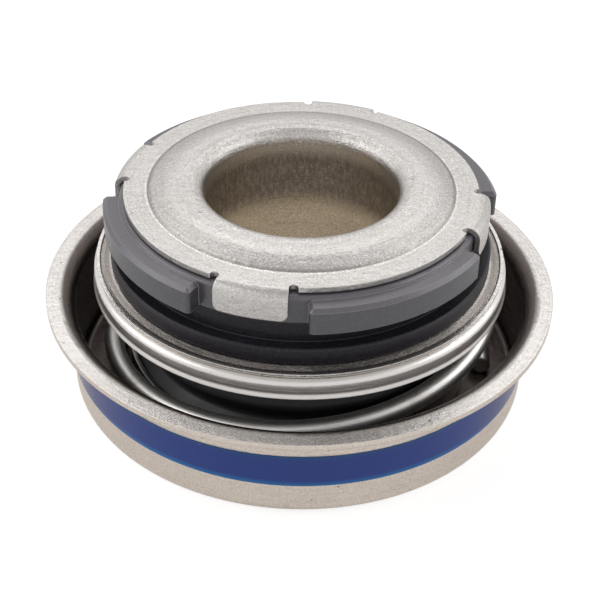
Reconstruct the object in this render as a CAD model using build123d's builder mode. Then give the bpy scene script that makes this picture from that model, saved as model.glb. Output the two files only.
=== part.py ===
"""Unitised mechanical face seal for a 15.9 mm coolant pump shaft.

A deep-drawn case is pressed into the pump housing.  On its floor stand the coil spring and the
rubber bellows, which push the carbon ring up against the hard mating ring.  The mating ring is
carried by the pressed sleeve that grips the shaft, and the flared foot of the sleeve is caught
under the case, which keeps the whole seal together before it is fitted.

Frame: millimetres, +Z up along the shaft, origin on the axis at the underside of the case.
"""

import os
from math import cos, degrees, radians, sin

from build123d import *

# ---- case: deep-drawn cup, pressed into the housing ----------------------------------------------
case_radius = 19.5          # outside of the wall, the fit in the housing bore
case_height = 8.9           # top of the flange
case_sheet = 0.5
case_foot_bend = 1.0        # outside bend between floor and wall
flange_reach = 1.9          # how far the flange stands out of the wall
flange_bend = 0.9           # bend under the flange
case_hole_gap = 1.0         # between the hole in the floor and the sleeve
hub_margin = 0.55           # between the raised centre and the clamp ring
hub_slope = 0.6             # radial run of the step down from the raised centre
hub_crest_bend = 0.3
hub_root_bend = 0.7

# ---- sealant band painted round the case ---------------------------------------------------------
band_low = 3.08
band_height = 2.98
band_coat = 0.04

# ---- sleeve: pressed on the shaft, carries the mating ring ---------------------------------------
shaft_radius = 7.95
sleeve_sheet = 0.45
sleeve_foot = 0.25          # underside of the flared foot above the case underside
foot_catch = 1.0            # width of the flared foot that lies under the case
foot_bend = 0.9
stop_gap = 0.1              # between the flared foot and the case when the seal is at rest
crown_rise = 0.6            # raised middle of the plate over its flat rim
crown_radius = 10.5         # where the crown starts to fall
crown_bend = 3.0
step_radius = 12.65         # where the crown meets the flat rim
step_bend = 0.3
mouth_roll = 1.1            # rolled mouth of the bore

# ---- tabs of the sleeve plate, bent down between the lugs ----------------------------------------
tab_count = 4
tab_azimuth = 76.2          # middle of the first tab, degrees from +X towards +Y
tab_angle = 21.5
tab_bend = 0.95             # outside bend
tab_drop = 2.45             # lower edge below the plate top
tab_gap = 0.1               # between the tabs and the mating ring
tab_corner = 0.6
relief_radius = 0.35        # round relief cut beside each tab root
relief_depth = 0.42

# ---- mating ring: hard ring with four driving lugs -----------------------------------------------
ring_radius = 14.85
ring_height = 2.4
ring_edge = 0.35            # rounded upper edge
ring_face_chamfer = 0.12
lug_reach = 1.29            # lugs stand out of the ring by this
lug_height = 2.15
lug_angle = 57.0
lug_corner = 0.34
lug_chamfer = 0.3

# ---- seat gasket: rubber between the mating ring and the sleeve ----------------------------------
gasket_wall = 1.35          # tube between sleeve and ring bore
gasket_pad = 0.15           # washer between ring and plate
gasket_depth = 1.95         # tube below the top of the ring
gasket_inset = 0.95         # washer's edge inside the ring's edge

# ---- carbon ring: the sliding face ---------------------------------------------------------------
nose_inset = 0.1            # nose inside the edge of the mating ring
shoulder_reach = 1.05       # wide part stands out of the nose by this
carbon_shoulder = 1.39      # height of the wide part
carbon_edge = 0.12
nose_height = 1.68
nose_width = 2.55
nose_depth = 0.7            # recess inside the nose
carbon_gap = 1.8            # between sleeve and carbon bore
hub_length = 3.3            # hub below the shoulder, gripped by the bellows

# ---- drive band: cups the carbon ring and grips the bellows neck ---------------------------------
drive_sheet = 0.3
drive_crest = 1.05          # carbon shoulder outside the tube of the band
cup_floor = 1.2             # dished floor from the carbon shoulder to the lip
drive_tube_length = 3.3
drive_rise = 0.18           # dish of its floor
drive_lip_height = 0.5      # upturned lip, from the underside of the floor
drive_bend = 0.4            # underside bend of its lip and floor
drive_crest_bend = 0.3      # underside bend under the carbon shoulder
lip_setback = 0.25          # lip inside the skirt of the spring cap
neck_wall = 1.85            # rubber between carbon hub and drive band

# ---- spring cap: holds the top coil --------------------------------------------------------------
cap_sheet = 0.3
cap_skirt = 1.57            # height of the skirt
cap_bend = 0.45
cap_clearance = 0.05        # between the top coil and the skirt
cap_lip = 0.12              # flare of the skirt's lower edge
cap_lip_height = 0.35

# ---- spring --------------------------------------------------------------------------------------
wire_radius = 0.85
spring_height = 10.6        # over the wire, with the seal at rest
spring_start = -8.0         # azimuth of the lower wire end
spring_flat = 85.0          # flat stretch at each end, degrees
spring_rise_angle = 402.0   # climbing stretch, degrees
spring_ease = 0.15          # share of the climb over which the pitch grows or fades
spring_step = 12.0          # degrees between points of the path

# ---- clamp ring: holds the bellows foot on the case floor ----------------------------------------
clamp_sheet = 0.35
clamp_height = 3.7          # top edge above the case underside
clamp_gap = 0.5             # between the clamp ring and the bottom coil
clamp_foot = 0.95           # width of its inward flange
clamp_bend = 0.5

# ---- bellows -------------------------------------------------------------------------------------
bellows_wall = 1.35
bellows_foot_height = 2.0
foot_inset = 0.5            # foot's inner edge outside the case hole
fold_depth = 1.3            # valley inside the bulge
valley_height = 4.4
bulge_height = 6.2
waist_height = 7.7
waist_depth = 0.9
fold_round = 0.55

# ---- small clearances between pieces that are assembled without force ----------------------------
skin_gap = 0.02             # rubber and spring against their neighbours
face_gap = 0.02             # lubricating film between the two sliding faces
near = 0.01                 # reach of the selections by place

# ---- heights, from the case floor upwards --------------------------------------------------------
flange_underside = case_height - case_sheet
hub_underside = sleeve_foot + sleeve_sheet + stop_gap
hub_top = hub_underside + case_sheet
cap_underside = case_sheet + spring_height
cap_top = cap_underside + cap_sheet
drive_top = cap_top + drive_rise + drive_sheet
shoulder_top = drive_top + carbon_shoulder
carbon_face = shoulder_top + nose_height
ring_face = carbon_face + face_gap
ring_top = ring_face + ring_height
plate_underside = ring_top + gasket_pad
plate_top = plate_underside + sleeve_sheet
sleeve_top = plate_top + crown_rise
tab_foot = plate_top - tab_drop

# ---- radii, from the shaft outwards --------------------------------------------------------------
sleeve_radius = shaft_radius + sleeve_sheet
case_hole_radius = sleeve_radius + case_hole_gap
foot_radius = case_hole_radius + foot_catch
ring_bore = sleeve_radius + gasket_wall
carbon_bore = sleeve_radius + carbon_gap

# ---- radii, from the mating ring outwards and under it -------------------------------------------
lug_radius = ring_radius + lug_reach
tab_radius = ring_radius + tab_gap + sleeve_sheet
plate_radius = tab_radius - tab_bend
nose_radius = ring_radius - nose_inset
carbon_radius = nose_radius + shoulder_reach
drive_tube_radius = carbon_radius - drive_crest
carbon_hub = drive_tube_radius - drive_sheet - neck_wall
lip_radius = carbon_radius + cup_floor
cap_radius = lip_radius + lip_setback
spring_radius = cap_radius - cap_sheet - cap_clearance - wire_radius
clamp_radius = spring_radius - wire_radius - clamp_gap
hub_radius = clamp_radius - clamp_foot - hub_margin - hub_slope
flange_radius = case_radius + flange_reach


def radial_plane(azimuth):
    """Upright plane through the axis: its x runs outwards at the azimuth, its y runs up."""
    turn = radians(azimuth)
    return Plane((0, 0, 0), x_dir=(cos(turn), sin(turn), 0), z_dir=(sin(turn), -cos(turn), 0))


def bent_sheet(corners, bends, sheet, side):
    """Section of a bent sheet: one of its faces follows the corners, the sheet lies on the side."""
    with BuildSketch() as section:
        with BuildLine():
            FilletPolyline(*corners, radius=bends)
            offset(amount=sheet, side=side)
        make_face()
    return section.sketch


def is_outside(radius):
    """Test for edges that lie wholly further from the axis than the radius."""
    return lambda edge: all(Vector(*(edge @ share)).cross(Vector(0, 0, 1)).length > radius + near
                            for share in (0, 0.5, 1))


def closed_section(*corners):
    """Section with straight sides between the corners."""
    with BuildSketch() as section:
        with BuildLine():
            Polyline(*corners, close=True)
        make_face()
    return section.sketch


# ---- case ----------------------------------------------------------------------------------------
# The underside runs from the hole over the raised centre, down to the floor, up the wall and out
# under the flange.
with BuildPart() as case:
    with BuildSketch(Plane.XZ):
        add(
            bent_sheet(
                [
                    (case_hole_radius, hub_underside),
                    (hub_radius, hub_underside),
                    (hub_radius + hub_slope, 0),
                    (case_radius, 0),
                    (case_radius, flange_underside),
                    (flange_radius, flange_underside),
                ],
                [hub_crest_bend, hub_root_bend, case_foot_bend, flange_bend],
                case_sheet,
                Side.LEFT,
            )
        )
    revolve(axis=Axis.Z)

# ---- sealant band: thin coat round the wall ------------------------------------------------------
with BuildPart() as sealant_band:
    with BuildSketch(Plane.XY.offset(band_low)):
        Circle(case_radius + band_coat)
        Circle(case_radius, mode=Mode.SUBTRACT)
    extrude(amount=band_height)

# ---- sleeve with its plate, flared foot and four tabs --------------------------------------------
with BuildPart() as sleeve:
    with BuildSketch(Plane.XZ):
        add(
            bent_sheet(
                [
                    (foot_radius, sleeve_foot),
                    (shaft_radius, sleeve_foot),
                    (shaft_radius, sleeve_top),
                    (crown_radius, sleeve_top),
                    (step_radius, plate_top),
                    (plate_radius, plate_top),
                ],
                [foot_bend, mouth_roll, crown_bend, step_bend],
                sleeve_sheet,
                Side.RIGHT,
            )
        )
    revolve(axis=Axis.Z)

    # relief cuts at both roots of every tab
    relief_circle = plate_radius - relief_depth + relief_radius
    relief_offset = tab_angle / 2 + degrees(relief_radius / plate_radius)
    for side in (-1, 1):
        with BuildSketch(Plane.XY.offset(plate_top)):
            with PolarLocations(relief_circle, tab_count, start_angle=tab_azimuth + side * relief_offset):
                SlotCenterPoint((relief_radius, 0), (0, 0), 2 * relief_radius)
        extrude(amount=-2 * sleeve_sheet, mode=Mode.SUBTRACT)

    for tab in range(tab_count):
        first_edge = tab_azimuth + tab * 360 / tab_count - tab_angle / 2
        with BuildSketch(radial_plane(first_edge)):
            add(
                bent_sheet(
                    [
                        (plate_radius - relief_depth, plate_top),
                        (tab_radius, plate_top),
                        (tab_radius, tab_foot),
                    ],
                    tab_bend,
                    sleeve_sheet,
                    Side.RIGHT,
                )
            )
        revolve(axis=Axis.Z, revolution_arc=tab_angle)
    tab_corners = sleeve.edges().filter_by_position(Axis.Z, tab_foot - near, tab_foot + near)
    tab_corners = tab_corners.filter_by(GeomType.LINE)
    fillet(tab_corners, radius=tab_corner)

# ---- mating ring: four lugs with chamfered tops round a plain ring -------------------------------
with BuildPart() as mating_ring:
    with BuildSketch(Plane.XY.offset(ring_face)) as lug_plan:
        Circle(lug_radius)
        notch_side = radians(180 / tab_count - lug_angle / 2)
        with BuildSketch(mode=Mode.PRIVATE) as notch:
            with BuildLine():
                Polyline(
                    (0, 0),
                    (2 * lug_radius * cos(notch_side), 2 * lug_radius * sin(notch_side)),
                    (2 * lug_radius * cos(notch_side), -2 * lug_radius * sin(notch_side)),
                    close=True,
                )
            make_face()
        with PolarLocations(0, tab_count, start_angle=tab_azimuth):
            add(notch.sketch, mode=Mode.SUBTRACT)
        fillet(lug_plan.vertices().filter_by(lambda point: abs(Vector(*point)) > ring_radius), lug_corner)
        Circle(ring_radius - lug_reach, mode=Mode.SUBTRACT)
    extrude(amount=lug_height)
    lug_rims = mating_ring.faces().filter_by(Axis.Z).group_by(Axis.Z)[-1].edges()
    chamfer(lug_rims.filter_by(is_outside(ring_radius - lug_reach)), length=lug_chamfer)
    with BuildSketch(Plane.XZ) as ring_section:
        with Locations((ring_bore, ring_face)):
            Rectangle(ring_radius - ring_bore, ring_height, align=Align.MIN)
        outer_corners = ring_section.vertices().group_by(Axis.X)[-1].sort_by(Axis.Y)
        chamfer(outer_corners[0], length=ring_face_chamfer)
        fillet(outer_corners[-1], radius=ring_edge)
    revolve(axis=Axis.Z)

# ---- seat gasket ---------------------------------------------------------------------------------
with BuildPart() as seat_gasket:
    with BuildSketch(Plane.XZ):
        add(
            closed_section(
                (sleeve_radius + skin_gap, ring_top - gasket_depth),
                (ring_bore - skin_gap, ring_top - gasket_depth),
                (ring_bore - skin_gap, ring_top + skin_gap),
                (ring_radius - gasket_inset, ring_top + skin_gap),
                (ring_radius - gasket_inset, plate_underside - skin_gap),
                (step_radius - sleeve_sheet, plate_underside - skin_gap),
                (crown_radius - sleeve_sheet, sleeve_top - sleeve_sheet - skin_gap),
                (shaft_radius + mouth_roll, sleeve_top - sleeve_sheet - skin_gap),
                (sleeve_radius + skin_gap, sleeve_top - mouth_roll),
            )
        )
    revolve(axis=Axis.Z)

# ---- carbon ring ---------------------------------------------------------------------------------
with BuildPart() as carbon_ring:
    with BuildSketch(Plane.XZ) as carbon_section:
        add(
            closed_section(
                (carbon_bore, drive_top - hub_length),
                (carbon_hub, drive_top - hub_length),
                (carbon_hub, drive_top),
                (carbon_radius, drive_top),
                (carbon_radius, shoulder_top),
                (nose_radius, shoulder_top),
                (nose_radius, carbon_face),
                (nose_radius - nose_width, carbon_face),
                (nose_radius - nose_width, carbon_face - nose_depth),
                (carbon_bore, carbon_face - nose_depth),
            )
        )
        chamfer(carbon_section.vertices().group_by(Axis.X)[-1], length=carbon_edge)
    revolve(axis=Axis.Z)

# ---- drive band ----------------------------------------------------------------------------------
# From the upturned lip under the carbon shoulder and down round the bellows neck.
with BuildPart() as drive_band:
    with BuildSketch(Plane.XZ):
        add(
            bent_sheet(
                [
                    (lip_radius, cap_top + drive_lip_height),
                    (lip_radius, cap_top),
                    (lip_radius - drive_bend - drive_sheet, cap_top),
                    (carbon_radius, cap_top + drive_rise),
                    (drive_tube_radius, cap_top + drive_rise),
                    (drive_tube_radius, drive_top - drive_tube_length),
                ],
                [drive_bend, drive_bend, drive_crest_bend, drive_crest_bend],
                drive_sheet,
                Side.RIGHT,
            )
        )
    revolve(axis=Axis.Z)

# ---- spring cap ----------------------------------------------------------------------------------
with BuildPart() as spring_cap:
    with BuildSketch(Plane.XZ):
        add(
            bent_sheet(
                [
                    (cap_radius + cap_lip, cap_top - cap_skirt),
                    (cap_radius, cap_top - cap_skirt + cap_lip_height),
                    (cap_radius, cap_top),
                    (spring_radius - wire_radius, cap_top),
                ],
                [cap_bend, cap_bend],
                cap_sheet,
                Side.LEFT,
            )
        )
    revolve(axis=Axis.Z)

# ---- clamp ring ----------------------------------------------------------------------------------
with BuildPart() as bellows_clamp_ring:
    with BuildSketch(Plane.XZ):
        add(
            bent_sheet(
                [
                    (clamp_radius - clamp_foot, case_sheet),
                    (clamp_radius, case_sheet),
                    (clamp_radius, clamp_height),
                ],
                clamp_bend,
                clamp_sheet,
                Side.LEFT,
            )
        )
    revolve(axis=Axis.Z)

# ---- bellows: foot on the case, one fold, neck round the carbon hub ------------------------------
foot_top = hub_top + bellows_foot_height
foot_outside = clamp_radius - clamp_sheet - skin_gap
neck_outside = drive_tube_radius - drive_sheet - skin_gap
neck_inside = carbon_hub + skin_gap
with BuildPart() as bellows:
    with BuildSketch(Plane.XZ) as bellows_section:
        add(
            closed_section(
                (case_hole_radius + foot_inset, hub_top),
                (foot_outside, hub_top),
                (foot_outside, foot_top),
                (foot_outside - fold_depth, valley_height),
                (foot_outside, bulge_height),
                (neck_outside - waist_depth, waist_height),
                (neck_outside, drive_top - drive_tube_length),
                (neck_outside, drive_top - skin_gap),
                (neck_inside, drive_top - skin_gap),
                (neck_inside, drive_top - hub_length),
                (neck_outside - waist_depth - bellows_wall, waist_height),
                (foot_outside - bellows_wall, bulge_height),
                (foot_outside - fold_depth - bellows_wall, valley_height),
                (foot_outside - fold_depth - bellows_wall, foot_top - bellows_wall),
                (case_hole_radius + foot_inset, foot_top - bellows_wall),
            )
        )
        folds = bellows_section.vertices().filter_by(
            lambda point: -near < point.Y - foot_top < drive_top - hub_length - foot_top - near
        )
        fillet(folds, radius=fold_round)
    revolve(axis=Axis.Z)


# ---- spring: round wire, right-hand wound, flat at both ends -------------------------------------
def climb(share):
    """Height share of the coil over its climbing stretch, with the pitch eased at both ends."""
    share = min(max(share, 0.0), 1.0)
    if share < spring_ease:
        return share**2 / (2 * spring_ease * (1 - spring_ease))
    if share > 1 - spring_ease:
        return 1 - (1 - share) ** 2 / (2 * spring_ease * (1 - spring_ease))
    return (share - spring_ease / 2) / (1 - spring_ease)


def coil_point(azimuth):
    """Middle of the wire at an azimuth in degrees, counted on from the lower end."""
    turn = radians(azimuth)
    share = (azimuth - spring_start - spring_flat) / spring_rise_angle
    height = case_sheet + wire_radius + climb(share) * (spring_height - skin_gap - 2 * wire_radius)
    return (spring_radius * cos(turn), spring_radius * sin(turn), height)


spring_angle = 2 * spring_flat + spring_rise_angle
spring_steps = round(spring_angle / spring_step)
with BuildPart() as spring:
    with BuildLine() as coil:
        Spline(
            [coil_point(spring_start + step * spring_angle / spring_steps)
             for step in range(spring_steps + 1)]
        )
    with BuildSketch(Plane(coil.line @ 0, z_dir=coil.line % 0)):
        Circle(wire_radius)
    sweep(path=coil.line)

pieces = {
    "case": case,
    "sealant_band": sealant_band,
    "bellows_clamp_ring": bellows_clamp_ring,
    "bellows": bellows,
    "spring": spring,
    "spring_cap": spring_cap,
    "drive_band": drive_band,
    "carbon_ring": carbon_ring,
    "mating_ring": mating_ring,
    "seat_gasket": seat_gasket,
    "sleeve": sleeve,
}
os.makedirs("parts", exist_ok=True)
for name, piece in pieces.items():
    piece.part.label = name
    export_step(piece.part, f"parts/{name}.step")
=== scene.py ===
"""Looks of a unitised mechanical face seal for a 15.9 mm coolant pump shaft.

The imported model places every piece.  The spring and the bellows, which shorten as the seal is
pressed together, get finer meshes of their own here, and every piece gets its finish.  Metres,
+Z up along the shaft, origin on the axis at the underside of the case.
"""

from math import cos, pi, radians, sin, tan

import bmesh
import bpy
from mathutils import Matrix, Quaternion, Vector


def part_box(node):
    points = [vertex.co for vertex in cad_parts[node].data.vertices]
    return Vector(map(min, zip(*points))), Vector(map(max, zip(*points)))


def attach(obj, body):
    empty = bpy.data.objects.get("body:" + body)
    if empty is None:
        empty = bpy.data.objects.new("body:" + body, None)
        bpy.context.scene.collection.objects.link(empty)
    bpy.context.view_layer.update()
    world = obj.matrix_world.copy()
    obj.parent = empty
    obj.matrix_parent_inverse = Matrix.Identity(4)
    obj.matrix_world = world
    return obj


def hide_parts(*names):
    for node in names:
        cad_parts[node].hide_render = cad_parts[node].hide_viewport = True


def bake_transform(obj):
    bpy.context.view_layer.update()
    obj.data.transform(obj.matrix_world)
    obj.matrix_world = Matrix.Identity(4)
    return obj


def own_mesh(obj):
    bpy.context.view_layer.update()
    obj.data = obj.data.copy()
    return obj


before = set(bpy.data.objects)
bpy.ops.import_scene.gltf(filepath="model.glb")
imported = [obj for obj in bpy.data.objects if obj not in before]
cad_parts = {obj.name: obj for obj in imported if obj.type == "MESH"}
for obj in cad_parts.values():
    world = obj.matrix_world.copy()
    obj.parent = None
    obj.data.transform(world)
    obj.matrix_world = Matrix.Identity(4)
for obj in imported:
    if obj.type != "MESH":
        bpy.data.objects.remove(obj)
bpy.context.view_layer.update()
mm = 0.001

# ---- case ---------------------------------------------------------------------------------------
# The case is a cup drawn in one piece from 0.5 mm stainless sheet, with its flange turned out at
# the top.  The drawing leaves a matt skin of fine grain, with faint rings round the axis.  A
# painted highlight lightens its edges, and painted shade darkens the wall and floor inside the cup.


def fill_socket(tree, socket, value):
    """Gives a socket a plain value, or links the output of another node to it."""
    if isinstance(value, bpy.types.NodeSocket):
        tree.links.new(value, socket)
    else:
        socket.default_value = value


def add_node(tree, kind, settings=None, **sockets):
    """New node, with its settings and its sockets filled by name."""
    node = tree.nodes.new(kind)
    for name, value in (settings or {}).items():
        setattr(node, name, value)
    for name, value in sockets.items():
        fill_socket(tree, node.inputs[name.replace("_", " ")], value)
    return node


def calculate(tree, operation, *terms):
    """Output of a math node."""
    node = add_node(tree, "ShaderNodeMath", {"operation": operation})
    for socket, term in zip(node.inputs, terms):
        fill_socket(tree, socket, term)
    return node.outputs[0]


def remap(tree, value, low, high, to_low=0.0, to_high=1.0):
    """Output of a smooth map range node: low to high becomes to_low to to_high."""
    node = add_node(
        tree,
        "ShaderNodeMapRange",
        {"interpolation_type": "SMOOTHSTEP"},
        Value=value,
        From_Min=low,
        From_Max=high,
        To_Min=to_low,
        To_Max=to_high,
    )
    return node.outputs["Result"]


def mix_colours(tree, factor, first, second, blend="MIX"):
    """Output of a colour mix node."""
    node = add_node(tree, "ShaderNodeMix", {"data_type": "RGBA", "blend_type": blend})
    colour_sockets = [socket for socket in node.inputs if socket.type == "RGBA"]
    fill_socket(tree, node.inputs[0], factor)
    fill_socket(tree, colour_sockets[0], first)
    fill_socket(tree, colour_sockets[1], second)
    return next(socket for socket in node.outputs if socket.type == "RGBA")


def new_group(name, inputs, outputs):
    """Empty shader node group: inputs map a name to its default, outputs map a name to its kind."""
    group = bpy.data.node_groups.new(name, "ShaderNodeTree")
    for label, default in inputs.items():
        kind = "NodeSocketColor" if isinstance(default, tuple) else "NodeSocketFloat"
        socket = group.interface.new_socket(label, in_out="INPUT", socket_type=kind)
        socket.default_value = default
    for label, kind in outputs.items():
        group.interface.new_socket(label, in_out="OUTPUT", socket_type=kind)
    entry = group.nodes.new("NodeGroupInput").outputs
    leave = group.nodes.new("NodeGroupOutput").inputs
    return group, entry, leave


def object_place(tree):
    """Place of a point in the piece's own frame."""
    return add_node(tree, "ShaderNodeTexCoord").outputs["Object"]


def noise(tree, place, scale, detail, roughness=0.5):
    """Strength of a noise texture."""
    node = add_node(
        tree, "ShaderNodeTexNoise", Vector=place, Scale=scale, Detail=detail, Roughness=roughness
    )
    return node.outputs["Fac"]


def both(tree, first, second):
    """Mask that holds where both masks do."""
    return calculate(tree, "MULTIPLY", first, second)


def from_axis(tree):
    """Distance from the shaft axis, direction away from it, and height."""
    parts = add_node(tree, "ShaderNodeSeparateXYZ", Vector=object_place(tree)).outputs
    across = add_node(tree, "ShaderNodeCombineXYZ", X=parts["X"], Y=parts["Y"]).outputs[0]
    radius = add_node(tree, "ShaderNodeVectorMath", {"operation": "LENGTH"}, Vector=across)
    outward = add_node(tree, "ShaderNodeVectorMath", {"operation": "NORMALIZE"}, Vector=across)
    return radius.outputs["Value"], outward.outputs["Vector"], parts["Z"]


def around_axis(tree, ring_pitch):
    """Coordinates that change fast across the rings and slowly round the axis, without a seam."""
    arc_share, height_share = 1.5, 1.3
    radius, outward, height = from_axis(tree)
    turned = add_node(tree, "ShaderNodeSeparateXYZ", Vector=outward).outputs
    down = calculate(tree, "MULTIPLY_ADD", height, height_share, radius)
    return add_node(
        tree,
        "ShaderNodeCombineXYZ",
        X=calculate(tree, "MULTIPLY", turned["X"], arc_share),
        Y=calculate(tree, "MULTIPLY", turned["Y"], arc_share),
        Z=calculate(tree, "DIVIDE", down, ring_pitch),
    ).outputs[0]


def make_sheet_skin():
    """Drawn steel sheet: fine grain, rings left by the tools, small dark pits, cloudy patches and painted
    glints.
    """
    group, entry, leave = new_group(
        "sheet_skin",
        {
            "Colour": (0.7, 0.66, 0.62, 1),
            "Shade": (0.5, 0.46, 0.43, 1),
            "Roughness": 0.35,
            "Grain": 1.0,
            "Rings": 0.3,
            "Pits": 0.5,
        },
        {"Colour": "NodeSocketColor", "Roughness": "NodeSocketFloat", "Height": "NodeSocketFloat"},
    )
    place = object_place(group)
    grain = noise(group, place, 6500, 3, 0.7)
    peel = noise(group, place, 1500, 2, 0.6)
    rings = noise(group, around_axis(group, 0.11 * mm), 1, 3, 0.6)
    dark_grain = remap(group, grain, 0.52, 0.36)
    dark_ring = remap(group, rings, 0.5, 0.32)
    pit = remap(group, noise(group, place, 2300, 1), 0.25, 0.2)
    cloudy = remap(group, noise(group, place, 170, 4, 0.6), 0.35, 0.7)
    shading = calculate(group, "MULTIPLY", dark_grain, calculate(group, "MULTIPLY", entry["Grain"], 0.42))
    shading = calculate(group, "MULTIPLY_ADD", dark_ring, entry["Rings"], shading)
    shading = calculate(group, "MULTIPLY_ADD", cloudy, 0.12, shading)
    shading = calculate(group, "MINIMUM", shading, 1.0)
    skin = mix_colours(group, shading, entry["Colour"], entry["Shade"])
    pitted = calculate(group, "MULTIPLY", pit, entry["Pits"])
    skin = mix_colours(group, pitted, skin, (0.12, 0.105, 0.1, 1))
    # Painted glints: the brightest grains are lightened toward near white, standing in for sparkles of light.
    painted_glint = calculate(group, "MULTIPLY", remap(group, grain, 0.58, 0.66), entry["Grain"])
    skin = mix_colours(group, calculate(group, "MULTIPLY", painted_glint, 0.6), skin, (0.98, 0.96, 0.93, 1))
    rough = calculate(group, "MULTIPLY_ADD", shading, 0.12, entry["Roughness"])
    height = calculate(group, "MULTIPLY_ADD", peel, 1.5, grain)
    height = calculate(group, "MULTIPLY", height, entry["Grain"])
    ring_height = calculate(group, "MULTIPLY", entry["Rings"], 1.6)
    height = calculate(group, "MULTIPLY_ADD", rings, ring_height, height)
    height = calculate(group, "SUBTRACT", height, pitted)
    group.links.new(skin, leave["Colour"])
    group.links.new(rough, leave["Roughness"])
    group.links.new(height, leave["Height"])
    return group


def make_edge_line():
    """Mask that is 1 along the edges of a piece and 0 on its faces."""
    group, entry, leave = new_group("edge_line", {"Reach": 0.1 * mm}, {"Edge": "NodeSocketFloat"})
    rounded = add_node(group, "ShaderNodeBevel", {"samples": 6}, Radius=entry["Reach"])
    flat = add_node(group, "ShaderNodeNewGeometry").outputs["Normal"]
    meet = add_node(group, "ShaderNodeVectorMath", {"operation": "DOT_PRODUCT"})
    group.links.new(rounded.outputs["Normal"], meet.inputs[0])
    group.links.new(flat, meet.inputs[1])
    group.links.new(remap(group, meet.outputs["Value"], 0.99, 0.85), leave["Edge"])
    return group


sheet_skin = make_sheet_skin()
edge_line = make_edge_line()


def new_material(name):
    """Material with a Principled shader: returns it, its node tree and the shader."""
    material = bpy.data.materials.new(name)
    material.use_nodes = True
    return material, material.node_tree, material.node_tree.nodes["Principled BSDF"]


def use_group(tree, group, **sockets):
    """The group placed in a material, with its inputs filled."""
    node = add_node(tree, "ShaderNodeGroup", {"node_tree": group})
    for name, value in sockets.items():
        fill_socket(tree, node.inputs[name], value)
    return node.outputs


def carve(tree, shader, height, depth, edge_radius, pressed=None):
    """Bump of this depth on softly rounded edges, over a pressed step where the piece has one."""
    normal = add_node(tree, "ShaderNodeBevel", {"samples": 6}, Radius=edge_radius).outputs["Normal"]
    if pressed:
        step, step_depth = pressed
        step = add_node(tree, "ShaderNodeBump", Strength=1, Distance=step_depth, Height=step, Normal=normal)
        normal = step.outputs["Normal"]
    bump = add_node(tree, "ShaderNodeBump", Strength=1, Distance=depth, Height=height, Normal=normal)
    tree.links.new(bump.outputs["Normal"], shader.inputs["Normal"])


def sheet_steel(
    name,
    colour,
    shade,
    roughness,
    grain,
    rings,
    pits,
    edge_radius=0.12 * mm,
    regions=(),
    pressed=None,
    coarse=None,
):
    """Stainless sheet with its grain, tool rings and a painted highlight along its edges.

    Regions is a list: each has a function from the node tree, the radius and the height to a mask,
    then the tint and the roughness that the sheet has there.  Pressed is such a function to a
    height, with its depth in metres.  Coarse is such a function to a mask where the grain is
    stronger.
    """
    material, tree, shader = new_material(name)
    radius, _, height = from_axis(tree)
    if coarse:
        grain = calculate(tree, "MULTIPLY_ADD", coarse(tree, radius, height), 0.5, grain)
    skin = use_group(
        tree, sheet_skin, Colour=colour, Shade=shade, Roughness=roughness, Grain=grain, Rings=rings, Pits=pits
    )
    edge = use_group(tree, edge_line, Reach=edge_radius)["Edge"]
    # Painted highlight: the base colour is lightened along the edges of the piece.
    finish = mix_colours(tree, calculate(tree, "MULTIPLY", edge, 0.5), skin["Colour"], (0.86, 0.83, 0.79, 1))
    rough = skin["Roughness"]
    for mask_maker, tint, region_roughness in regions:
        mask = mask_maker(tree, radius, height)
        finish = mix_colours(tree, mask, finish, tint, "MULTIPLY")
        rough = calculate(tree, "MULTIPLY_ADD", mask, region_roughness - roughness, rough)
    tree.links.new(finish, shader.inputs["Base Color"])
    tree.links.new(rough, shader.inputs["Roughness"])
    shader.inputs["Metallic"].default_value = 1
    if pressed:
        pressed = pressed[0](tree, radius, height), pressed[1]
    carve(tree, shader, skin["Height"], 0.03 * mm, edge_radius, pressed)
    return material


def finish_node(name, material):
    """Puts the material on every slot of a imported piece."""
    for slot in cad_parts[name].material_slots:
        slot.material = material


def faces_outward(tree):
    """1 where a face looks away from the shaft axis, -1 where it looks at it, 0 where it looks up."""
    meet = add_node(tree, "ShaderNodeVectorMath", {"operation": "DOT_PRODUCT"})
    tree.links.new(from_axis(tree)[1], meet.inputs[0])
    tree.links.new(add_node(tree, "ShaderNodeTexCoord").outputs["Normal"], meet.inputs[1])
    return meet.outputs["Value"]


case_inside = 19.0 * mm
floor_top = 0.5 * mm


def painted_shade_inside_case(tree, radius, height):
    """Painted shade: the wall and floor inside the cup, fading in over the rounded edge of the flange."""
    wall = remap(tree, faces_outward(tree), -0.02, -0.35)
    floor = both(
        tree,
        remap(tree, radius, case_inside + 0.2 * mm, case_inside),
        remap(tree, height, floor_top - 0.08 * mm, floor_top - 0.04 * mm),
    )
    return calculate(tree, "MAXIMUM", wall, floor)


def outer_wall(tree, radius, height):
    """The wall outside, which has taken a faint straw tint."""
    return remap(tree, faces_outward(tree), 0.6, 0.9)


finish_node(
    "case",
    sheet_steel(
        "case_steel",
        (0.81, 0.775, 0.745, 1),
        (0.52, 0.48, 0.455, 1),
        roughness=0.24,
        grain=1.0,
        rings=0.3,
        pits=0.7,
        regions=[
            # Painted shade inside the cup: the steel there is darkened to near black.
            (painted_shade_inside_case, (0.16, 0.14, 0.135, 1), 0.2),
            (outer_wall, (1.04, 0.97, 0.89, 1), 0.36),
        ],
    ),
)

# ---- sealant band -------------------------------------------------------------------------------
# The band is a coat of blue sealant, rolled on the turning case and dried to a glossy skin.  It
# turns greener at its two edges, where it is thin, and carries a few pale scuffs from handling.
# Where it is seen at a grazing angle its colour is mixed toward lavender, a painted sheen.

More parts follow.
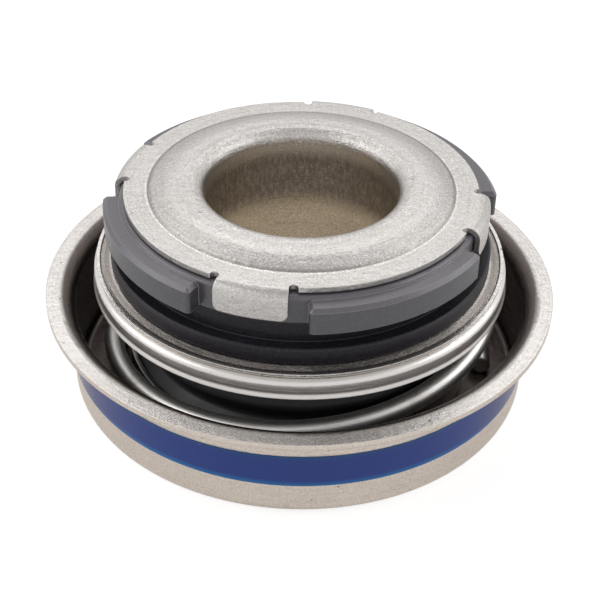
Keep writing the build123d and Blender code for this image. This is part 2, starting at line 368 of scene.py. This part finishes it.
band_low, band_high = (corner.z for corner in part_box("sealant_band"))
sealant, tree, shader = new_material("sealant_blue")
place = object_place(tree)
height = add_node(tree, "ShaderNodeSeparateXYZ", Vector=place).outputs["Z"]
height = calculate(tree, "MULTIPLY_ADD", noise(tree, place, 160, 3), 0.25 * mm, height)
above = remap(tree, height, band_high - 0.35 * mm, band_high + 0.15 * mm)
below = remap(tree, height, band_low + 0.7 * mm, band_low + 0.15 * mm)
colour = mix_colours(tree, below, (0.006, 0.043, 0.29, 1), (0.001, 0.17, 0.5, 1))
colour = mix_colours(tree, above, colour, (0.001, 0.075, 0.26, 1))
# Painted sheen: toward grazing view angles the blue is mixed toward a dull lavender.
painted_grazing_sheen = add_node(tree, "ShaderNodeLayerWeight", Blend=0.5).outputs["Facing"]
colour = mix_colours(tree, remap(tree, painted_grazing_sheen, 0.45, 0.95), colour, (0.05, 0.035, 0.15, 1))
scuffed = remap(tree, noise(tree, place, 420, 5, 0.75), 0.68, 0.73)
colour = mix_colours(tree, calculate(tree, "MULTIPLY", scuffed, 0.6), colour, (0.5, 0.55, 0.7, 1))
tree.links.new(colour, shader.inputs["Base Color"])
tree.links.new(remap(tree, scuffed, 0, 1, 0.18, 0.6), shader.inputs["Roughness"])
carve(tree, shader, noise(tree, place, 900, 2), 0.004 * mm, 0.05 * mm)
finish_node("sealant_band", sealant)

# ---- clamp ring ---------------------------------------------------------------------------------
# The clamp ring is a small pressed cup of 0.35 mm stainless sheet.  It holds the foot of the
# bellows down on the case floor, and its smooth wall stands close inside the bottom coil.

finish_node(
    "bellows_clamp_ring",
    sheet_steel(
        "clamp_steel",
        (0.74, 0.71, 0.68, 1),
        (0.45, 0.42, 0.40, 1),
        roughness=0.22,
        grain=0.4,
        rings=0.2,
        pits=0.3,
    ),
)

# ---- bellows ------------------------------------------------------------------------------------
# The bellows is moulded in black rubber, with a foot under the clamp ring, one soft fold, and a
# neck that the drive band grips round the carbon ring.  It is gloss black with a little dust.

bellows_wall = 1.35 * mm
fold_round = 0.55 * mm
fold_depth = 1.3 * mm
foot_height = 2 * mm
foot_inset = 0.1 * mm
foot_round = 0.1 * mm
waist_depth = 0.9 * mm
neck_length = 3.28 * mm
neck_wall = 1.81 * mm
neck_round = 0.15 * mm


def rounded_outline(corners, steps=6):
    """Closed outline with each (x, z, radius) corner rounded by an arc of that radius."""
    outline = []
    for index, (x, z, radius) in enumerate(corners):
        corner = Vector((x, z))
        before = Vector(corners[index - 1][:2]) - corner
        after = Vector(corners[(index + 1) % len(corners)][:2]) - corner
        if radius == 0:
            outline.append(corner)
            continue
        half = before.angle(after) / 2
        inward = (before.normalized() + after.normalized()).normalized()
        centre = corner + inward * radius / sin(half)
        reach = radius / tan(half)
        first = corner + before.normalized() * reach - centre
        last = corner + after.normalized() * reach - centre
        sweep = first.angle_signed(last)
        for step in range(steps + 1):
            outline.append(centre + Matrix.Rotation(-sweep * step / steps, 2) @ first)
    return outline


def mesh_piece(name, mesh_maker):
    """Object with a mesh filled by a bmesh function, smooth shaded."""
    mesh = bpy.data.meshes.new(name)
    shape = bmesh.new()
    mesh_maker(shape)
    bmesh.ops.recalc_face_normals(shape, faces=shape.faces)
    shape.to_mesh(mesh)
    shape.free()
    mesh.shade_smooth()
    piece = bpy.data.objects.new(name, mesh)
    bpy.context.scene.collection.objects.link(piece)
    return piece


def turned_piece(name, outline, around=192):
    """Piece turned about the shaft axis from a closed outline of (radius, height) points."""

    def turn(shape):
        rings = [
            [
                shape.verts.new((x * cos(2 * pi * step / around), x * sin(2 * pi * step / around), z))
                for x, z in outline
            ]
            for step in range(around)
        ]
        for step in range(around):
            here, there = rings[step - 1], rings[step]
            for index in range(len(outline)):
                shape.faces.new((here[index - 1], here[index], there[index], there[index - 1]))

    return mesh_piece(name, turn)


bellows_low, bellows_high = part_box("bellows")
neck_outside = bellows_high.x
foot_outside = neck_outside - foot_inset
foot_inside = 9.9 * mm
foot_top = bellows_low.z + foot_height
neck_inside = neck_outside - neck_wall
neck_foot = bellows_high.z - neck_length
waist = neck_outside - waist_depth
valley = foot_outside - fold_depth
valley_height, bulge_height, waist_height = 4.4 * mm, 6.2 * mm, 7.7 * mm
bellows = turned_piece(
    "rubber_bellows",
    rounded_outline(
        [
            (foot_inside, bellows_low.z, foot_round),
            (foot_outside, bellows_low.z, foot_round),
            (foot_outside, foot_top, fold_round),
            (valley, valley_height, fold_round),
            (foot_outside, bulge_height, fold_round),
            (waist, waist_height, fold_round),
            (neck_outside, neck_foot, neck_round),
            (neck_outside, bellows_high.z, neck_round),
            (neck_inside, bellows_high.z, neck_round),
            (neck_inside, neck_foot, neck_round),
            (waist - bellows_wall, waist_height, fold_round),
            (foot_outside - bellows_wall, bulge_height, fold_round),
            (valley - bellows_wall, valley_height, fold_round),
            (valley - bellows_wall, foot_top - bellows_wall, 0),
            (foot_inside, foot_top - bellows_wall, foot_round),
        ]
    ),
)


def black_rubber(name, colour, dust):
    """Moulded black rubber, glossy on its skin, with fine dust."""
    material, tree, shader = new_material(name)
    place = object_place(tree)
    specks = noise(tree, place, 1500, 4, 0.8)
    patches = noise(tree, place, 260, 3)
    dusty = both(tree, remap(tree, specks, 0.6, 0.72), remap(tree, patches, 0.45, 0.7, 0.2, 1.0))
    skin = mix_colours(tree, calculate(tree, "MULTIPLY", dusty, dust), colour, (0.16, 0.15, 0.15, 1))
    tree.links.new(skin, shader.inputs["Base Color"])
    tree.links.new(remap(tree, patches, 0.3, 0.7, 0.42, 0.56), shader.inputs["Roughness"])
    shader.inputs["Specular IOR Level"].default_value = 0.9
    carve(tree, shader, specks, 0.004 * mm, 0.08 * mm)
    return material


bellows.data.materials.append(black_rubber("bellows_rubber", (0.026, 0.025, 0.030, 1), 0.6))
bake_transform(bellows)
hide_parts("bellows")

# ---- spring -------------------------------------------------------------------------------------
# The spring is cold-wound from 1.7 mm stainless wire, with flat coils that sit on the case floor
# and under the spring cap.  Drawing left the wire bright, with fine lines along its length.

wire_radius = 0.85 * mm
spring_low, spring_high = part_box("spring")
coil_radius = spring_high.x - wire_radius
coil_start, coil_flat, coil_climb = radians(-8), radians(85), radians(402)
coil_angle = 2 * coil_flat + coil_climb
pitch_ease = 0.15
path_steps, wire_sides = 240, 24
end_round = 0.15 * mm


def climbed(share):
    """Height share along the climbing stretch, with the pitch eased at both ends."""
    share = min(max(share, 0), 1)
    if share < pitch_ease:
        return share**2 / (2 * pitch_ease * (1 - pitch_ease))
    if share > 1 - pitch_ease:
        return 1 - (1 - share) ** 2 / (2 * pitch_ease * (1 - pitch_ease))
    return (share - pitch_ease / 2) / (1 - pitch_ease)


def wire_middle(turn):
    """Middle of the wire at an angle counted from its lower end."""
    rise = spring_high.z - spring_low.z - 2 * wire_radius
    height = spring_low.z + wire_radius + climbed((turn - coil_flat) / coil_climb) * rise
    angle = coil_start + turn
    return Vector((coil_radius * cos(angle), coil_radius * sin(angle), height))


def wind_wire(shape):
    """Tube along the coil, with softly rounded ends and its length and girth in the UV map."""
    stations = [coil_angle * step / path_steps for step in range(path_steps + 1)]
    end = end_round / coil_radius
    stations = [0, end * 0.3, end] + stations[1:-1] + [coil_angle - end, coil_angle - end * 0.3, coil_angle]
    radii = [wire_radius - end_round, wire_radius - end_round * 0.3, wire_radius]
    radii = radii + [wire_radius] * (len(stations) - 6) + radii[::-1]
    uv = shape.loops.layers.uv.new("UVMap")
    rings = []
    for turn, radius in zip(stations, radii):
        middle = wire_middle(turn)
        along = (wire_middle(turn + 0.01) - wire_middle(turn - 0.01)).normalized()
        outward = Vector((middle.x, middle.y, 0)).normalized()
        up = along.cross(outward).normalized()
        outward = up.cross(along)
        ring = []
        for side in range(wire_sides):
            angle = 2 * pi * side / wire_sides
            ring.append(shape.verts.new(middle + radius * (cos(angle) * outward + sin(angle) * up)))
        rings.append(ring)
    for index in range(len(rings) - 1):
        for side in range(wire_sides):
            beside = (side + 1) % wire_sides
            face = shape.faces.new(
                (rings[index][side], rings[index][beside], rings[index + 1][beside], rings[index + 1][side])
            )
            marks = [(0, 0), (0, 1), (1, 1), (1, 0)]
            for loop, (forward, sideways) in zip(face.loops, marks):
                loop[uv].uv = (
                    stations[index + forward] * coil_radius,
                    (side + sideways) / wire_sides * 2 * pi * wire_radius,
                )
    shape.faces.new(rings[0])
    shape.faces.new(rings[-1])


spring = mesh_piece("wire_spring", wind_wire)
wire, tree, shader = new_material("spring_wire")
along_wire = add_node(tree, "ShaderNodeUVMap", {"uv_map": "UVMap"}).outputs["UV"]
stretched = add_node(tree, "ShaderNodeVectorMath", {"operation": "MULTIPLY"})
fill_socket(tree, stretched.inputs[0], along_wire)
fill_socket(tree, stretched.inputs[1], (120, 7000, 1))
drawn = noise(tree, stretched.outputs[0], 1, 4, 0.7)
tarnish = noise(tree, object_place(tree), 320, 4)
colour = mix_colours(tree, remap(tree, drawn, 0.5, 0.25), (0.93, 0.91, 0.88, 1), (0.66, 0.63, 0.6, 1))
colour = mix_colours(tree, remap(tree, tarnish, 0.6, 0.75, 0, 0.5), colour, (0.45, 0.40, 0.36, 1))
tree.links.new(colour, shader.inputs["Base Color"])
tree.links.new(remap(tree, drawn, 0.3, 0.7, 0.46, 0.36), shader.inputs["Roughness"])
shader.inputs["Metallic"].default_value = 1
bump = add_node(tree, "ShaderNodeBump", Strength=0.5, Distance=0.002 * mm, Height=drawn)
tree.links.new(bump.outputs["Normal"], shader.inputs["Normal"])
spring.data.materials.append(wire)
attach(spring, "case")
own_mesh(spring)
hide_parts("spring")

# ---- spring cap ---------------------------------------------------------------------------------
# The spring cap is a thin pressed ring that sits on the top coil, with a skirt round it that ends
# in a small flare.  Its drawn wall is brighter and smoother than the case.

finish_node(
    "spring_cap",
    sheet_steel(
        "cap_steel",
        (0.92, 0.895, 0.87, 1),
        (0.62, 0.57, 0.54, 1),
        roughness=0.3,
        grain=0.25,
        rings=0.3,
        pits=0.4,
        edge_radius=0.08 * mm,
    ),
)

# ---- drive band ---------------------------------------------------------------------------------
# The drive band is pressed from 0.3 mm stainless sheet.  Its floor is dished under the carbon ring
# and ends in an upturned lip, and its tube grips the rubber neck.  Painted shade darkens the floor
# between the carbon ring and the lip.

lip_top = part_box("drive_band")[1].z
lip_root = 16.65 * mm


def painted_shade_dished_floor(tree, radius, height):
    """Painted shade: the floor between the carbon ring and the root of the lip, darker than the lip."""
    return both(
        tree,
        remap(tree, height, lip_top + 0.04 * mm, lip_top - 0.1 * mm),
        remap(tree, radius, lip_root + 0.15 * mm, lip_root),
    )


finish_node(
    "drive_band",
    sheet_steel(
        "band_steel",
        (0.82, 0.79, 0.76, 1),
        (0.42, 0.385, 0.36, 1),
        roughness=0.26,
        grain=0.9,
        rings=0.25,
        pits=1.0,
        edge_radius=0.08 * mm,
        # Painted shade on the dished floor, between the carbon ring and the lip.
        regions=[(painted_shade_dished_floor, (0.5, 0.47, 0.455, 1), 0.26)],
    ),
)

# ---- carbon ring --------------------------------------------------------------------------------
# The carbon ring is pressed and baked from resin-bound graphite, then turned.  It is satin black
# with a cool cast and fine turning lines, and a painted highlight lightens its edges.

carbon, tree, shader = new_material("carbon_graphite")
flakes = noise(tree, object_place(tree), 3800, 3, 0.7)
lines = noise(tree, around_axis(tree, 0.09 * mm), 1, 2)
colour = mix_colours(tree, remap(tree, flakes, 0.4, 0.7), (0.014, 0.0125, 0.017, 1), (0.03, 0.027, 0.035, 1))
colour = mix_colours(tree, remap(tree, flakes, 0.74, 0.78, 0, 0.5), colour, (0.25, 0.24, 0.24, 1))
# Painted highlight: the edges are lightened to stand in for light caught on the chamfers.
edge = use_group(tree, edge_line, Reach=0.12 * mm)["Edge"]
colour = mix_colours(tree, calculate(tree, "MULTIPLY", edge, 0.7), colour, (0.14, 0.13, 0.15, 1))
tree.links.new(colour, shader.inputs["Base Color"])
tree.links.new(remap(tree, lines, 0.3, 0.7, 0.3, 0.42), shader.inputs["Roughness"])
shader.inputs["Specular IOR Level"].default_value = 0.3
carve(tree, shader, calculate(tree, "ADD", flakes, lines), 0.004 * mm, 0.12 * mm)
finish_node("carbon_ring", carbon)

# ---- mating ring --------------------------------------------------------------------------------
# The mating ring is sintered silicon carbide with four moulded lugs.  The lugs keep the fine grain
# of the mould, grey with a faint sheen.  Their upward faces are lightened with painted light, and
# their edges and chamfers carry a painted highlight.

ceramic, tree, shader = new_material("silicon_carbide")
place = object_place(tree)
grit = noise(tree, place, 4600, 3, 0.7)
smudge = noise(tree, place, 350, 4)
colour = mix_colours(tree, remap(tree, grit, 0.35, 0.65), (0.060, 0.056, 0.064, 1), (0.086, 0.080, 0.092, 1))
colour = mix_colours(tree, remap(tree, smudge, 0.5, 0.8, 0, 0.35), colour, (0.17, 0.16, 0.16, 1))
# Painted light: faces that look up are lightened, as if lit from above.
normal = add_node(tree, "ShaderNodeTexCoord").outputs["Normal"]
upward = add_node(tree, "ShaderNodeSeparateXYZ", Vector=normal).outputs["Z"]
colour = mix_colours(tree, remap(tree, upward, 0.2, 0.8, 0, 0.7), colour, (0.165, 0.152, 0.175, 1))
# Painted highlight: the edges and chamfers of the lugs are lightened.
edge = use_group(tree, edge_line, Reach=0.14 * mm)["Edge"]
colour = mix_colours(tree, edge, colour, (0.4, 0.39, 0.4, 1))
tree.links.new(colour, shader.inputs["Base Color"])
tree.links.new(remap(tree, smudge, 0.3, 0.7, 0.24, 0.36), shader.inputs["Roughness"])
shader.inputs["Specular IOR Level"].default_value = 1.0
carve(tree, shader, grit, 0.004 * mm, 0.1 * mm)
finish_node("mating_ring", ceramic)

# ---- seat gasket --------------------------------------------------------------------------------
# The seat gasket is a moulded rubber cup that grips the sleeve and lies between the mating ring
# and the plate.  Only the black line of its edge shows.

finish_node("seat_gasket", black_rubber("gasket_rubber", (0.006, 0.006, 0.007, 1), 0.2))

# ---- sleeve -------------------------------------------------------------------------------------
# The sleeve, its plate, the four tabs and the flared foot are one pressing of 0.45 mm stainless
# sheet.  The raised crown is rolled into the bore, and the drawing left its skin matt and grainy.
# Painted shade darkens the bore under its mouth and painted light lightens the bore below; a
# painted highlight and painted shade line the foot of the crown.

crown_foot, crown_shoulder = 12.55 * mm, 10.7 * mm
mouth_inside, mouth_outside = 9.0 * mm, 9.5 * mm
mouth_low, mouth_high = 17.0 * mm, 17.6 * mm
belt_low, belt_high = 10.5 * mm, 17.2 * mm
full_belt_low, full_belt_high = 13.0 * mm, 15.8 * mm
bore_light_full = 11.8 * mm


def bore_wall(tree):
    """Mask of the wall that faces the shaft."""
    return remap(tree, faces_outward(tree), -0.5, -0.98)


def painted_light_lower_bore(tree, radius, height):
    """Painted light: the bore wall below the belt, lightened and warmed where light falls down the bore."""
    return both(tree, bore_wall(tree), remap(tree, height, full_belt_low, bore_light_full))


def painted_shade_scored_belt(tree, radius, height):
    """Painted shade on the belt of bore wall under the rolled mouth, broken by upright scores."""
    upright = add_node(tree, "ShaderNodeMapping", Vector=object_place(tree), Scale=(3400, 3400, 1500))
    scores = noise(tree, upright.outputs["Vector"], 1, 3, 0.7)
    belt = both(
        tree,
        remap(tree, height, belt_high, full_belt_high),
        remap(tree, height, belt_low, full_belt_low),
    )
    belt = both(tree, belt, remap(tree, scores, 0.65, 0.4, 0.7, 1))
    return both(tree, bore_wall(tree), belt)


def pressed_crown(tree, radius, height):
    """The steep side of the crown, with the sharp line that the punch left round its foot."""
    fall = calculate(tree, "SUBTRACT", radius, crown_shoulder)
    fall = calculate(tree, "DIVIDE", fall, crown_foot - crown_shoulder)
    fall = calculate(tree, "MINIMUM", calculate(tree, "MAXIMUM", fall, 0), 1)
    return calculate(tree, "MULTIPLY", calculate(tree, "MULTIPLY", fall, fall), -1)


def painted_highlight_foot_line(tree, radius, height):
    """Painted highlight: a thin light line round the foot of the crown."""
    return both(
        tree,
        remap(tree, radius, crown_foot - 0.02 * mm, crown_foot + 0.04 * mm),
        remap(tree, radius, crown_foot + 0.22 * mm, crown_foot + 0.12 * mm),
    )


def foot_shade(tree, radius, height):
    """Painted shade: a dark line in the corner between the crown and the painted highlight at its foot."""
    return both(
        tree,
        remap(tree, radius, crown_foot + 0.02 * mm, crown_foot - 0.04 * mm),
        remap(tree, radius, crown_foot - 0.4 * mm, crown_foot - 0.1 * mm),
    )


def stretched_skin(tree, radius, height):
    """The side of the crown and the rolled mouth, where the stretched sheet turned granular."""
    side = both(
        tree,
        remap(tree, radius, crown_foot, crown_foot - 0.3 * mm),
        remap(tree, radius, crown_shoulder, crown_shoulder + 0.6 * mm),
    )
    mouth = both(
        tree,
        remap(tree, radius, mouth_outside, mouth_inside),
        remap(tree, height, mouth_low, mouth_high),
    )
    return calculate(tree, "MAXIMUM", side, mouth)


finish_node(
    "sleeve",
    sheet_steel(
        "sleeve_steel",
        (0.72, 0.69, 0.665, 1),
        (0.48, 0.445, 0.42, 1),
        roughness=0.28,
        grain=1.2,
        rings=0.35,
        pits=0.5,
        regions=[
            # Painted shade: the bore wall under the mouth is darkened.
            (painted_shade_scored_belt, (0.40, 0.37, 0.35, 1), 0.36),
            # Painted light: the lower bore wall is lightened and warmed, with a rougher finish.
            (painted_light_lower_bore, (1.24, 1.17, 1.0, 1), 0.6),
            # Painted highlight round the foot of the crown, and painted shade in the corner inside it.
            (painted_highlight_foot_line, (1.16, 1.16, 1.16, 1), 0.24),
            (foot_shade, (0.7, 0.68, 0.67, 1), 0.28),
        ],
        pressed=(pressed_crown, 0.27 * mm),
        coarse=stretched_skin,
    ),
)

# ---- table, light and camera --------------------------------------------------------------------
# The seal stands on a plain white table in a light tent: a wide soft lamp high behind it, a square
# one at each side, and a pale surround that the metal mirrors.


def seen_directly(tree, in_metal=1.0):
    """1 for rays from the camera and through glass, in_metal for those off metal, 0 for diffuse light."""
    path = add_node(tree, "ShaderNodeLightPath").outputs
    mirrored = calculate(tree, "MULTIPLY", path["Is Glossy Ray"], in_metal)
    seen = calculate(tree, "MAXIMUM", path["Is Camera Ray"], mirrored)
    return calculate(tree, "MAXIMUM", seen, path["Is Transmission Ray"])


def lay_table(shape):
    """Flat square under the seal."""
    bmesh.ops.create_grid(shape, x_segments=1, y_segments=1, size=1.5)


table = mesh_piece("table", lay_table)
table.location.z = -0.02 * mm
table_white, tree, shader = new_material("table_white")
shader.inputs["Base Color"].default_value = (0.6, 0.6, 0.6, 1)
shader.inputs["Roughness"].default_value = 0.9
shader.inputs["Specular IOR Level"].default_value = 0
shader.inputs["Emission Color"].default_value = (1, 1, 1, 1)
glow = calculate(tree, "MULTIPLY", seen_directly(tree, 0.45), 0.68)
tree.links.new(glow, shader.inputs["Emission Strength"])
table.data.materials.append(table_white)

world = bpy.data.worlds.new("light_tent")
bpy.context.scene.world = world
world.use_nodes = True
tree = world.node_tree
direction = add_node(tree, "ShaderNodeTexCoord").outputs["Generated"]
upward = add_node(tree, "ShaderNodeSeparateXYZ", Vector=direction).outputs["Z"]
tent = remap(tree, upward, 0.6, 0.98, 0.75, 0.45)
camera_ray = add_node(tree, "ShaderNodeLightPath").outputs["Is Camera Ray"]
tent = calculate(tree, "MAXIMUM", tent, camera_ray)
level = remap(tree, seen_directly(tree), 0, 1, 0.8, 1)
tree.links.new(calculate(tree, "MULTIPLY", tent, level), tree.nodes["Background"].inputs["Strength"])
tree.nodes["Background"].inputs["Color"].default_value = (1, 1, 1, 1)


def hang_lamp(name, place, width, height, power):
    """Soft flat lamp that faces the seal."""
    lamp = bpy.data.lights.new(name, "AREA")
    lamp.shape = "RECTANGLE"
    lamp.size, lamp.size_y = width, height
    lamp.energy = power
    holder = bpy.data.objects.new(name, lamp)
    holder.location = place
    holder.rotation_mode = "QUATERNION"
    holder.rotation_quaternion = (Vector(place) - seal_middle).to_track_quat("Z", "Y")
    bpy.context.scene.collection.objects.link(holder)


seal_middle = Vector((0, 0, 9 * mm))
hang_lamp("lamp_behind", (0, 0.30, 0.38), width=0.5, height=0.15, power=0.33)
hang_lamp("lamp_left", (-0.36, -0.02, 0.24), width=0.30, height=0.30, power=0.40)
hang_lamp("lamp_right", (0.38, 0.04, 0.24), width=0.28, height=0.28, power=0.34)

camera = bpy.data.objects.new("camera", bpy.data.cameras.new("camera"))
bpy.context.scene.collection.objects.link(camera)
bpy.context.scene.camera = camera
aim = Vector((0.06 * mm, 0, 6.39 * mm))
elevation, distance, roll = radians(36.0), 115 * mm, radians(1.2)
back = Vector((0, -cos(elevation), sin(elevation)))
camera.location = aim + back * distance
camera.rotation_mode = "QUATERNION"
camera.rotation_quaternion = back.to_track_quat("Z", "Y") @ Quaternion((0, 0, 1), roll)
camera.data.sensor_width = 36
camera.data.lens = 79.8
camera.data.clip_start = 1 * mm
camera.data.clip_end = 10

bpy.context.scene.view_settings.view_transform = "Standard"
